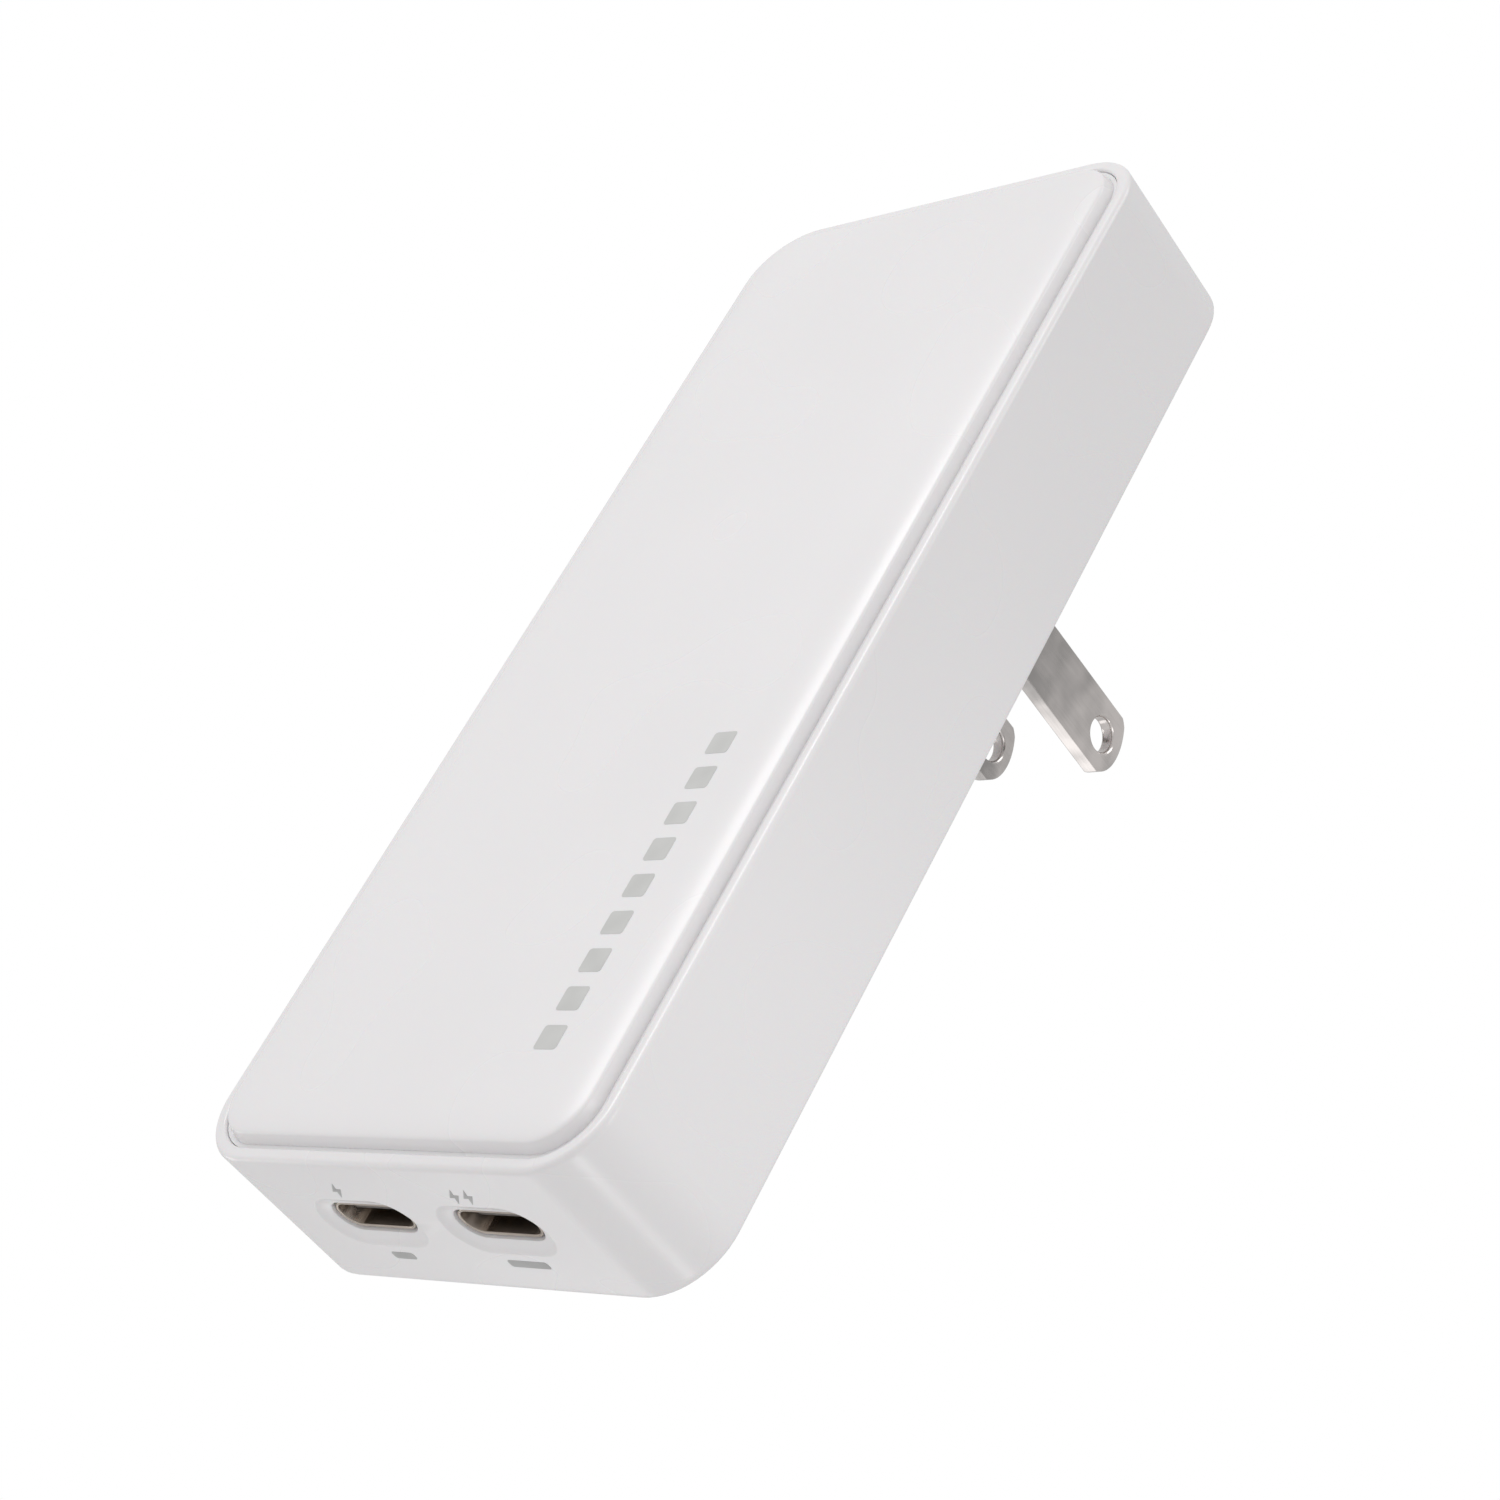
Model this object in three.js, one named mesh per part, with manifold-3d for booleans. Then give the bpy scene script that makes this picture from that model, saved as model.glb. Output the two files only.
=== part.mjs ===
// Slim two-port USB wall charger with folding blades, in millimetres.
// Origin on the back face, midway between the blades. +Z runs up the long axis, the ports face -Z,
// the blades stand out along +Y and the front cover faces -Y.
import * as THREE from "three";
import { mergeVertices } from "three/addons/utils/BufferGeometryUtils.js";
import Module from "manifold-3d";

const wasm = await Module();
wasm.setup();

// ---- overall sizes
const WIDTH = 47; // across the case
const LENGTH = 113; // along the case
const DEPTH = 16.5; // back face to rim
const CROWN = 1.2; // how far the cover stands proud of the rim
const CORNER_R = 6.6; // upright corner radius
const EDGE_R = 0.7; // softened outer edges

// ---- case walls and cover seat
const WALL = 1.9;
const BACK_WALL = 1.8;
const RIM = 1.3; // rim wall beside the cover
const SEAT_DEPTH = 1.7; // rim top to the ledge the cover rests on
const GROOVE = 0.55; // gap round the crowned part of the cover
const FLANGE_T = 0.8;
const COVER_SKIN = 1.5;
const COVER_SOFT = 2.3; // width of the cover's soft edge
const SEAT_GAP = 0.06; // cover flange to rim

// ---- blades: the standard two-pin size
const BLADE_W = 6.35;
const BLADE_T = 1.5;
const BLADE_SPACING = 12.7;
const BLADE_OUT = 18.2; // length past the back face
const BLADE_HOLE_R = 1.6;
const HOLE_FROM_TIP = 3.1;
const TIP_SAG = 1.75; // how far the rounded tip stands past its corners
const PAIR_OFFSET = 11; // blade pair, right of the case's middle
const PAIR_HEIGHT = 71; // blade middle above the port end

// ---- folding mechanism
const PIVOT_DEPTH = 4.4; // pivot axis behind the back face
const CARRIER_R = 2.9;
const CARRIER_HALF = 9.2;
const RUN_GAP = 0.3; // clearance round everything that turns
const SLOT_W = 2.3;
const NECK_W = 3.4; // blade where it passes through the carrier
const TAIL_OUT = 4; // blade tail past the pivot axis
const RETAINER_HALF_H = 7.5;
const RETAINER_SPLIT = 5; // depth of the face the retainer is screwed to
const RETAINER_BACK = 9.6; // depth of the retainer's inner face
const NOTCH_R = 0.7; // detent notch
const WELL_END = 1.2; // moulding past the end of a blade well
const SCOOP_R = 7; // finger scoop across the wells
const SCOOP_DEPTH = 3;
const SCOOP_FROM_TIP = 5.4;
const SCOOP_PAST = 2.2; // beyond the wells, each side

// ---- ports
const PORT_X = [-7.5, 7.5]; // from the case's middle
const PORT_DEPTH = 8.45; // middle of the ports, behind the back face
const PORT_SHELL = [8.94, 3.26];
const PORT_SHELL_T = 0.3;
const PORT_SHELL_L = 7.6;
const PORT_SETBACK = 0.7; // mouth of the metal shell inside the port end
const PORT_CLEAR = 0.2;
const PORT_DISH = 1.1; // lead-in round each port, past the metal shell
const PORT_DISH_DEEP = 0.5;

// ---- circuit board
const BOARD_T = 1.2;
const BOARD_GAP = 0.5;
const BOARD_TOP = PORT_DEPTH + PORT_SHELL[1] / 2; // component side, depth behind the back face
const BOARD_BACK = BOARD_TOP + BOARD_T;
const POST_R = 2.2;
const SCREW_R = 0.9;

// ---- derived edges of the case
const LEFT = -PAIR_OFFSET - WIDTH / 2;
const RIGHT = -PAIR_OFFSET + WIDTH / 2;
const LOW = -PAIR_HEIGHT;
const HIGH = LENGTH - PAIR_HEIGHT;
const MID_X = (LEFT + RIGHT) / 2;
const MID_Z = (LOW + HIGH) / 2;
const LEDGE = DEPTH - SEAT_DEPTH;
const bladeX = [-BLADE_SPACING / 2, BLADE_SPACING / 2];
const foldedTip = BLADE_OUT + PIVOT_DEPTH;
const slotLow = -(foldedTip + 0.5);

// ---------------------------------------------------------------- shape helpers

const ARC_STEPS = 5; // half the flats in each rounded corner

function solidOf(geometry) {
  const bare = geometry.clone();
  bare.deleteAttribute("normal");
  bare.deleteAttribute("uv");
  const merged = mergeVertices(bare, 1e-4);
  return new wasm.Manifold(
    new wasm.Mesh({
      numProp: 3,
      vertProperties: new Float32Array(merged.attributes.position.array),
      triVerts: new Uint32Array(merged.index.array),
    }),
  );
}

function geometryOf(solid) {
  const mesh = solid.getMesh();
  const count = mesh.vertProperties.length / mesh.numProp;
  const positions = new Float32Array(count * 3);
  for (let i = 0; i < count; i++)
    for (let k = 0; k < 3; k++) positions[3 * i + k] = mesh.vertProperties[mesh.numProp * i + k];
  const out = new THREE.BufferGeometry();
  out.setAttribute("position", new THREE.BufferAttribute(positions, 3));
  out.setIndex([...mesh.triVerts]);
  return out;
}

const join = (...solids) => solids.reduce((a, b) => a.add(b));
const cut = (base, ...tools) => tools.reduce((a, b) => a.subtract(b), base);

// A box between two opposite corners.
function block(x0, x1, y0, y1, z0, z1) {
  const g = new THREE.BoxGeometry(x1 - x0, y1 - y0, z1 - z0);
  g.translate((x0 + x1) / 2, (y0 + y1) / 2, (z0 + z1) / 2);
  return solidOf(g);
}

function roundedOutline(cx, cy, w, h, r) {
  const s = new THREE.Shape();
  const x0 = cx - w / 2, x1 = cx + w / 2, y0 = cy - h / 2, y1 = cy + h / 2;
  s.moveTo(x0 + r, y0);
  s.lineTo(x1 - r, y0);
  s.absarc(x1 - r, y0 + r, r, -Math.PI / 2, 0, false);
  s.lineTo(x1, y1 - r);
  s.absarc(x1 - r, y1 - r, r, 0, Math.PI / 2, false);
  s.lineTo(x0 + r, y1);
  s.absarc(x0 + r, y1 - r, r, Math.PI / 2, Math.PI, false);
  s.lineTo(x0, y0 + r);
  s.absarc(x0 + r, y0 + r, r, Math.PI, 1.5 * Math.PI, false);
  return s;
}

// The case outline, drawn in from the outside by a given amount, in X and Z.
const caseOutline = (inset) =>
  roundedOutline(MID_X, MID_Z, WIDTH - 2 * inset, LENGTH - 2 * inset, CORNER_R - inset);

// An outline in X and Z, swept from one depth to a deeper one, with softened ends on request.
function plate(outline, fromDepth, toDepth, soft = 0, softSteps = 2) {
  const g = new THREE.ExtrudeGeometry(outline, {
    depth: toDepth - fromDepth - 2 * soft,
    bevelEnabled: soft > 0,
    bevelThickness: soft,
    bevelSize: soft,
    bevelOffset: -soft,
    bevelSegments: softSteps,
    curveSegments: ARC_STEPS,
  });
  g.translate(0, 0, fromDepth + soft);
  g.rotateX(Math.PI / 2);
  return solidOf(g);
}

// An outline in Y and Z, swept along X.
function sweepX(outline, x0, x1, soft = 0, segments = ARC_STEPS) {
  const g = new THREE.ExtrudeGeometry(outline, {
    depth: x1 - x0 - 2 * soft,
    bevelEnabled: soft > 0,
    bevelThickness: soft,
    bevelSize: soft,
    bevelOffset: -soft,
    bevelSegments: 1,
    curveSegments: segments,
  });
  const turn = new THREE.Matrix4().makeBasis(
    new THREE.Vector3(0, 1, 0),
    new THREE.Vector3(0, 0, 1),
    new THREE.Vector3(1, 0, 0),
  );
  g.translate(0, 0, soft);
  g.applyMatrix4(turn);
  g.translate(x0, 0, 0);
  return solidOf(g);
}

// An outline in X and Y, swept along Z.
function sweepZ(outline, z0, z1) {
  const g = new THREE.ExtrudeGeometry(outline, {
    depth: z1 - z0,
    bevelEnabled: false,
    curveSegments: ARC_STEPS,
  });
  g.translate(0, 0, z0);
  return solidOf(g);
}

// A round rod along X, Y or Z between two stations.
function rod(axis, r, from, to, a, b, segments = 24) {
  const g = new THREE.CylinderGeometry(r, r, to - from, segments);
  const mid = (from + to) / 2;
  if (axis === "x") {
    g.rotateZ(-Math.PI / 2);
    g.translate(mid, a, b);
  } else if (axis === "y") g.translate(a, mid, b);
  else {
    g.rotateX(Math.PI / 2);
    g.translate(a, b, mid);
  }
  return solidOf(g);
}

// A closed profile of radius and height, turned about an axis along Z or Y.
function turned(profile, along, at, segments = 20) {
  const g = new THREE.LatheGeometry(profile.map(([r, h]) => new THREE.Vector2(r, h)), segments);
  if (along === "z") g.rotateX(Math.PI / 2);
  g.translate(...at);
  return solidOf(g);
}

const group = new THREE.Group();
group.name = "usb_wall_charger";

function piece(name, solid, colour, roughness, metalness = 0) {
  const material = new THREE.MeshStandardMaterial({ color: colour, roughness, metalness });
  material.name = name;
  const mesh = new THREE.Mesh(geometryOf(solid), material);
  mesh.name = name;
  group.add(mesh);
}

const PLASTIC = "#e4e2e3";
const NICKEL = "#a7a29c";
const STEEL = "#b9b9bb";
const BLACK = "#26262a";
const EPOXY = "#1f2023";

// ---------------------------------------------------------------- base shell
// Moulded tray: back, four walls, the blade wells, the front half of the pivot bearing and the posts.

function stadium(x, w, h) {
  const r = h / 2, reach = w / 2 - r;
  const s = new THREE.Shape();
  s.moveTo(x - reach, -PORT_DEPTH - r);
  s.lineTo(x + reach, -PORT_DEPTH - r);
  s.absarc(x + reach, -PORT_DEPTH, r, -Math.PI / 2, Math.PI / 2, false);
  s.lineTo(x - reach, -PORT_DEPTH + r);
  s.absarc(x - reach, -PORT_DEPTH, r, Math.PI / 2, 1.5 * Math.PI, false);
  return s;
}
const portMiddles = PORT_X.map((x) => MID_X + x);
const innerRight = RIGHT - WALL;

const wellBlockX = [-CARRIER_HALF - RUN_GAP - WALL, innerRight + 0.4];
const wellFloor = PIVOT_DEPTH + BLADE_W / 2 + RUN_GAP;
const wellBack = wellFloor + 0.9;
const slotHalf = SLOT_W / 2;
const wellEnd = slotLow - WELL_END;
const scoopHalf = BLADE_SPACING / 2 + slotHalf + SCOOP_PAST;
const scoopZ = -(foldedTip - SCOOP_FROM_TIP);

const POST_INSET = 6.5;
const postSpots = [
  [LEFT + POST_INSET, HIGH - POST_INSET],
  [RIGHT - POST_INSET, LOW + 2 * POST_INSET],
];

let shell = plate(caseOutline(0), 0, DEPTH, EDGE_R, 3);
shell = cut(
  shell,
  plate(caseOutline(WALL), BACK_WALL, LEDGE),
  plate(caseOutline(RIM), LEDGE, DEPTH + 1),
);
shell = join(
  shell,
  block(...wellBlockX, -RETAINER_SPLIT, -BACK_WALL / 2, -RETAINER_HALF_H - 0.1, RETAINER_HALF_H + WALL),
  block(...wellBlockX, -wellBack, -BACK_WALL / 2, wellEnd, -RETAINER_HALF_H - 0.1),
  ...postSpots.map(([x, z]) => rod("y", POST_R, -BOARD_TOP, -BACK_WALL / 2, x, z)),
);
shell = cut(
  shell,
  // well slots: the mouth in the back face, the well below and the bearing above
  ...bladeX.flatMap((x) => [
    block(x - slotHalf, x + slotHalf, -BACK_WALL - 0.5, 1, slotLow, BLADE_W / 2 + RUN_GAP),
    block(x - slotHalf, x + slotHalf, -wellFloor, -BACK_WALL, slotLow, 0),
    block(x - slotHalf, x + slotHalf, -wellBack - 1, -BACK_WALL, -RETAINER_HALF_H - 0.1, 5),
  ]),
  rod("x", CARRIER_R + RUN_GAP, -CARRIER_HALF - RUN_GAP, CARRIER_HALF + RUN_GAP, -PIVOT_DEPTH, 0, 32),
  // the trough opens towards the retainer
  block(-CARRIER_HALF - RUN_GAP, CARRIER_HALF + RUN_GAP, -PIVOT_DEPTH - 4, -PIVOT_DEPTH,
    -CARRIER_R - RUN_GAP, CARRIER_R + RUN_GAP),
  // finger scoop across both wells
  rod("x", SCOOP_R, -scoopHalf, scoopHalf, SCOOP_R - SCOOP_DEPTH, scoopZ, 40),
  // port openings and their shallow lead-in
  ...portMiddles.flatMap((x) => [
    sweepZ(stadium(x, PORT_SHELL[0] + 2 * PORT_CLEAR, PORT_SHELL[1] + 2 * PORT_CLEAR), LOW - 1, LOW + 4),
    sweepZ(
      stadium(x, PORT_SHELL[0] + 2 * PORT_DISH, PORT_SHELL[1] + 2 * PORT_DISH),
      LOW - 1, LOW + PORT_DISH_DEEP,
    ),
  ]),
  // screw pilot holes in the board posts
  ...postSpots.map(([x, z]) => rod("y", SCREW_R, -BOARD_TOP - 1, -BOARD_TOP + 4.5, x, z, 12)),
);

const retainerScrews = [
  [-2.8, 5.3],
  [2.8, 5.3],
  [-2.8, -5.3],
  [2.8, -5.3],
];
const RETAINER_SCREW_IN = 2.8; // how far a retainer screw enters the shell
shell = cut(
  shell,
  ...retainerScrews.map(([x, z]) =>
    rod("y", SCREW_R, -RETAINER_SPLIT - 1, -RETAINER_SPLIT + RETAINER_SCREW_IN, x, z, 12)),
);
piece("base_shell", shell, PLASTIC, 0.42);

// ---------------------------------------------------------------- front cover
// Crowned plate with a soft edge, a flange that forms the groove's floor and a locating rib.

const crownInset = RIM + GROOVE;
const flange = plate(caseOutline(RIM + SEAT_GAP), LEDGE, LEDGE + FLANGE_T);
const crownGeometry = new THREE.ExtrudeGeometry(caseOutline(crownInset), {
  depth: DEPTH - LEDGE - 0.4,
  bevelEnabled: true,
  bevelThickness: CROWN + 0.4,
  bevelSize: COVER_SOFT,
  bevelOffset: -COVER_SOFT,
  bevelSegments: 5,
  curveSegments: ARC_STEPS,
});
crownGeometry.translate(0, 0, LEDGE);
crownGeometry.rotateX(Math.PI / 2);
const below = block(LEFT - 1, RIGHT + 1, -LEDGE, 1, LOW - 1, HIGH + 1);
const ribOuter = WALL + 0.25;
let cover = join(flange, cut(solidOf(crownGeometry), below));
cover = join(cover, plate(caseOutline(ribOuter), LEDGE - 0.7, LEDGE + 0.2));
cover = cut(
  cover,
  plate(caseOutline(ribOuter + 0.9), LEDGE - 1, DEPTH + CROWN - COVER_SKIN),
);
piece("front_cover", cover, PLASTIC, 0.4);

// ---------------------------------------------------------------- blades and carrier
// Stamped plated blades, moulded into a round carrier that turns in the bearing.

function bladeOutline() {
  const half = BLADE_W / 2, neck = NECK_W / 2;
  const cornerY = BLADE_OUT - TIP_SAG;
  const tipR = (half * half + TIP_SAG * TIP_SAG) / (2 * TIP_SAG);
  const sweep = Math.asin(half / tipR);
  const shoulder = -PIVOT_DEPTH + CARRIER_R + 0.25;
  const tailTurn = Math.asin(neck / TAIL_OUT);
  const s = new THREE.Shape();
  s.absarc(-PIVOT_DEPTH, 0, TAIL_OUT, Math.PI - tailTurn, Math.PI + tailTurn, false);
  s.lineTo(shoulder, -neck);
  s.lineTo(shoulder, -half);
  s.lineTo(cornerY, -half);
  s.absarc(BLADE_OUT - tipR, 0, tipR, -sweep, sweep, false);
  s.lineTo(shoulder, half);
  s.lineTo(shoulder, neck);
  s.closePath();
  const hole = new THREE.Path();
  hole.absarc(BLADE_OUT - HOLE_FROM_TIP, 0, BLADE_HOLE_R, 0, 2 * Math.PI, true);
  s.holes.push(hole);
  return s;
}

["blade_left", "blade_right"].forEach((name, i) => {
  const x0 = bladeX[i] - BLADE_T / 2;
  piece(name, sweepX(bladeOutline(), x0, x0 + BLADE_T, 0.15, 7), NICKEL, 0.3, 1);
});

const notchAt = CARRIER_R + 0.1;
let carrier = rod("x", CARRIER_R, -CARRIER_HALF, CARRIER_HALF, -PIVOT_DEPTH, 0, 32);
carrier = cut(
  carrier,
  ...bladeX.map((x) =>
    block(x - BLADE_T / 2, x + BLADE_T / 2, -PIVOT_DEPTH - 4, -PIVOT_DEPTH + 4, -NECK_W / 2, NECK_W / 2)),
  // detent notches: deployed and folded
  rod("x", NOTCH_R, -2.4, 2.4, -PIVOT_DEPTH - notchAt, 0, 12),
  rod("x", NOTCH_R, -2.4, 2.4, -PIVOT_DEPTH, -notchAt, 12),
);
piece("blade_carrier", carrier, BLACK, 0.55);

// ---------------------------------------------------------------- retainer, its screws and the detent
// Screwed over the carrier from inside; slots let the blades and their tails swing.

const HEAD_R = 1.6;
const HEAD_H = 1;
const springWindow = 1.6;
let retainer = block(
  wellBlockX[0], innerRight - 0.1, -RETAINER_BACK, -RETAINER_SPLIT, -RETAINER_HALF_H, RETAINER_HALF_H,
);
retainer = cut(
  retainer,
  rod("x", CARRIER_R + RUN_GAP, -CARRIER_HALF - RUN_GAP, CARRIER_HALF + RUN_GAP, -PIVOT_DEPTH, 0, 32),
  ...bladeX.flatMap((x) => [
    block(x - slotHalf, x + slotHalf, -wellBack, -RETAINER_SPLIT + 1, -RETAINER_HALF_H - 1, 0),
    block(x - slotHalf, x + slotHalf, -PIVOT_DEPTH - 4.7, -RETAINER_SPLIT + 1, -2.5, 5),
    block(x - 1.4, x + 1.4, -RETAINER_BACK - 1, -RETAINER_BACK + 1, -springWindow, springWindow),
  ]),
  block(-2.8, 2.8, -RETAINER_BACK - 1, -PIVOT_DEPTH - CARRIER_R + 0.5, -3, 3),
  ...retainerScrews.flatMap(([x, z]) => [
    rod("y", HEAD_R + 0.1, -RETAINER_BACK - 1, -RETAINER_BACK + HEAD_H, x, z, 20),
    rod("y", SCREW_R, -RETAINER_BACK, -RETAINER_SPLIT + 1, x, z, 12),
  ]),
);
piece("carrier_retainer", retainer, BLACK, 0.55);

// A pan-head screw whose head sits at a depth and whose shank runs towards the back face.
function screw(x, z, headFrom, headTo, shankTo) {
  const head = rod("y", HEAD_R, -headFrom, -headTo, x, z, 20);
  const shank = rod("y", SCREW_R, -headTo, -shankTo, x, z, 12);
  const slot = (turn) => {
    const g = new THREE.BoxGeometry(1.7, 0.9, 0.4);
    g.rotateY(turn);
    g.translate(x, -headFrom, z);
    return solidOf(g);
  };
  return cut(join(head, shank), slot(0), slot(Math.PI / 2));
}
retainerScrews.forEach(([x, z], i) => {
  piece(
    `retainer_screw_${i + 1}`,
    screw(x, z, RETAINER_BACK, RETAINER_BACK - HEAD_H, RETAINER_SPLIT - RETAINER_SCREW_IN),
    STEEL, 0.35, 1,
  );
});

// Leaf bent to a shallow W; its middle bump sits in the carrier's notch and its feet in the retainer.
const leafT = 0.25;
const leafTop = PIVOT_DEPTH + CARRIER_R;
const leafLow = RETAINER_BACK - 0.2;
const leaf = new THREE.Shape();
[
  [-leafLow, -3], [-leafLow + leafT, -3], [-leafTop - 0.7, -1.1], [-leafTop - 0.2, -0.5],
  [-leafTop - 0.1, 0], [-leafTop - 0.2, 0.5], [-leafTop - 0.7, 1.1], [-leafLow + leafT, 3],
  [-leafLow, 3], [-leafLow, 2.8], [-leafTop - 1, 1.1], [-leafTop - 0.5, 0.45],
  [-leafTop - 0.4, 0], [-leafTop - 0.5, -0.45], [-leafTop - 1, -1.1], [-leafLow, -2.8],
].forEach(([y, z], i) => (i ? leaf.lineTo(y, z) : leaf.moveTo(y, z)));
piece("detent_spring", sweepX(leaf, -2, 2), STEEL, 0.3, 1);

// ---------------------------------------------------------------- contact springs
// Strip soldered to the board, rising through the retainer's window to the blade's tail.

const STRIP_T = 0.3;
const stripTop = PIVOT_DEPTH + TAIL_OUT + RUN_GAP;
const stripRear = -1.4;
const contact = new THREE.Shape();
[
  [-BOARD_TOP, stripRear], [-BOARD_TOP, 1.4], [-BOARD_TOP + STRIP_T, 1.4],
  [-BOARD_TOP + STRIP_T, stripRear + STRIP_T], [-stripTop - STRIP_T, stripRear + STRIP_T],
  [-stripTop - STRIP_T, 1.2], [-stripTop, 1.2], [-stripTop, stripRear],
].forEach(([y, z], i) => (i ? contact.lineTo(y, z) : contact.moveTo(y, z)));
["contact_spring_left", "contact_spring_right"].forEach((name, i) => {
  piece(name, sweepX(contact, bladeX[i] - 0.9, bladeX[i] + 0.9), "#b98a4e", 0.3, 1);
});

// ---------------------------------------------------------------- main board and its screws

const boardInset = WALL + BOARD_GAP;
let board = plate(caseOutline(boardInset), BOARD_TOP, BOARD_BACK);
board = cut(
  board,
  ...postSpots.map(([x, z]) => rod("y", SCREW_R, -BOARD_BACK - 1, -BOARD_TOP + 1, x, z, 12)),
);
piece("main_board", board, "#2c5a3c", 0.5);
postSpots.forEach(([x, z], i) => {
  piece(
    `board_screw_${i + 1}`,
    screw(x, z, BOARD_BACK + HEAD_H, BOARD_BACK, BOARD_TOP - 4.2),
    STEEL, 0.35, 1,
  );
});

// ---------------------------------------------------------------- USB-C receptacles
// Drawn steel shell open at the mouth, with a moulded tongue inside it.

const mouthZ = LOW + PORT_SETBACK;
const portNames = ["left", "right"];
portMiddles.forEach((x, i) => {
  const [w, h] = PORT_SHELL;
  const tube = cut(
    sweepZ(stadium(x, w, h), mouthZ, mouthZ + PORT_SHELL_L),
    sweepZ(stadium(x, w - 2 * PORT_SHELL_T, h - 2 * PORT_SHELL_T), mouthZ - 1, mouthZ + PORT_SHELL_L + 1),
  );
  piece(`usb_c_shell_${portNames[i]}`, tube, "#8d877f", 0.35, 1);
  const plug = sweepZ(
    stadium(x, w - 2 * PORT_SHELL_T, h - 2 * PORT_SHELL_T),
    mouthZ + PORT_SHELL_L - 2.2, mouthZ + PORT_SHELL_L + 0.5,
  );
  const tongue = block(
    x - 3.35, x + 3.35, -PORT_DEPTH - 0.35, -PORT_DEPTH + 0.35, mouthZ + 0.9, mouthZ + PORT_SHELL_L - 2,
  );
  piece(`usb_c_tongue_${portNames[i]}`, join(plug, tongue), BLACK, 0.5);
});

// ---------------------------------------------------------------- parts on the board
// Everything stands on the board's component side, between it and the back wall.

const onBoard = (x0, x1, z0, z1, height, lift = 0) =>
  block(x0, x1, -BOARD_TOP + lift, -BOARD_TOP + lift + height, z0, z1);

// Can capacitor as a closed profile: rolled groove near the bung, softened ends.
const canProfile = (r, from, to) => [
  [0, from], [r * 0.86, from], [r, from + 0.4], [r, to - 2.4], [r * 0.9, to - 2],
  [r * 0.9, to - 1.7], [r, to - 1.3], [r, to - 0.4], [r * 0.86, to], [0, to],
];

// bulk capacitors, lying side by side along the case above the blades
const mechanismTop = RETAINER_HALF_H + WALL;
const CAN_R = 3.85;
const CAN_L = 20.5;
const canLow = mechanismTop + 2;
const canX = [0, 1, 2].map((i) => LEFT + 13.6 + i * (2 * CAN_R + 0.8));
canX.forEach((x, i) => {
  const can = turned(canProfile(CAN_R, canLow, canLow + CAN_L), "z", [x, -BOARD_TOP + CAN_R, 0]);
  piece(`bulk_capacitor_${i + 1}`, can, "#3a3b42", 0.4);
});

// line input parts to the right of the cans
const inputX = canX[2] + CAN_R + 1;
const inputEnd = RIGHT - WALL - 1.6;
piece("x_capacitor", onBoard(inputX, inputEnd, canLow, canLow + 12.5, 7.4), "#c9c6b4", 0.5);
piece("fuse", onBoard(inputX, inputEnd - 1, canLow + 14, canLow + 18.5, 6.6), "#8a3a2c", 0.5);

// bridge rectifier and safety capacitor to the left of the cans
const leftX = LEFT + WALL + 1.4;
piece("bridge_rectifier", onBoard(leftX, canX[0] - CAN_R - 1, canLow, canLow + 6.5, 2.6), EPOXY, 0.45);
piece("y_capacitor", onBoard(leftX, leftX + 4, canLow + 8, canLow + 14.5, 6.2), "#2f6fb0", 0.4);

// common-mode choke: ring core with two wound halves, left of the blade mechanism
const stripRight = wellBlockX[0] - 1;
const stripMid = (leftX + stripRight) / 2;
const CHOKE_Z = 3.6;
const ring = (r0, r1, from, to) =>
  turned([[r0, from], [r1, from], [r1, to], [r0, to], [r0, from]], "y", [stripMid, 0, CHOKE_Z], 28);
const chokeBase = -BOARD_TOP;
const chokeCore = ring(3, 5, chokeBase + 0.9, chokeBase + 5.4);
const chokeCoil = cut(
  ring(2.2, 5.8, chokeBase, chokeBase + 6.3),
  ring(2.99, 5.01, chokeBase + 0.89, chokeBase + 5.41),
);
piece("choke_core", chokeCore, "#4f6b52", 0.6);
[["choke_coil_left", -1], ["choke_coil_right", 1]].forEach(([name, side]) => {
  const away = block(
    stripMid - (side > 0 ? 9 : 1.4), stripMid + (side > 0 ? 1.4 : 9), -12, 0, CHOKE_Z - 9, CHOKE_Z + 9,
  );
  piece(name, cut(chokeCoil, away), "#b8733c", 0.35, 1);
});

// planar transformer: two ferrite halves meeting at mid height round a wound former
const CORE_L = 18.5;
const CORE_H = 7.8;
const CORE_SLAB = 1.8;
const LEG = 2.4;
const coreLow = CHOKE_Z - 7.6 - CORE_L;
const coreMid = coreLow + CORE_L / 2;
const coreX = [leftX, stripRight];
const POST_CORE_R = 3.6;
const coreHalf = (base, out) => {
  const y = (d) => -BOARD_TOP + base + out * d;
  const slabs = (x0, x1, d0, d1) =>
    block(x0, x1, Math.min(y(d0), y(d1)), Math.max(y(d0), y(d1)), coreLow, coreLow + CORE_L);
  return join(
    slabs(coreX[0], coreX[1], 0, CORE_SLAB),
    slabs(coreX[0], coreX[0] + LEG, 0, CORE_H / 2),
    slabs(coreX[1] - LEG, coreX[1], 0, CORE_H / 2),
    rod("y", POST_CORE_R, Math.min(y(1), y(CORE_H / 2)), Math.max(y(1), y(CORE_H / 2)), stripMid, coreMid),
  );
};
piece("transformer_core_lower", coreHalf(0, 1), "#3b3b3e", 0.7);
piece("transformer_core_upper", coreHalf(CORE_H, -1), "#3b3b3e", 0.7);
const windingW = coreX[1] - coreX[0] - 2 * LEG - 0.4;
const winding = cut(
  plate(
    roundedOutline(stripMid, coreMid, windingW, CORE_L + 1.6, 3),
    BOARD_TOP - CORE_H + CORE_SLAB, BOARD_TOP - CORE_SLAB,
  ),
  rod("y", POST_CORE_R + 0.1, -BOARD_TOP, 0, stripMid, coreMid),
);
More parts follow.
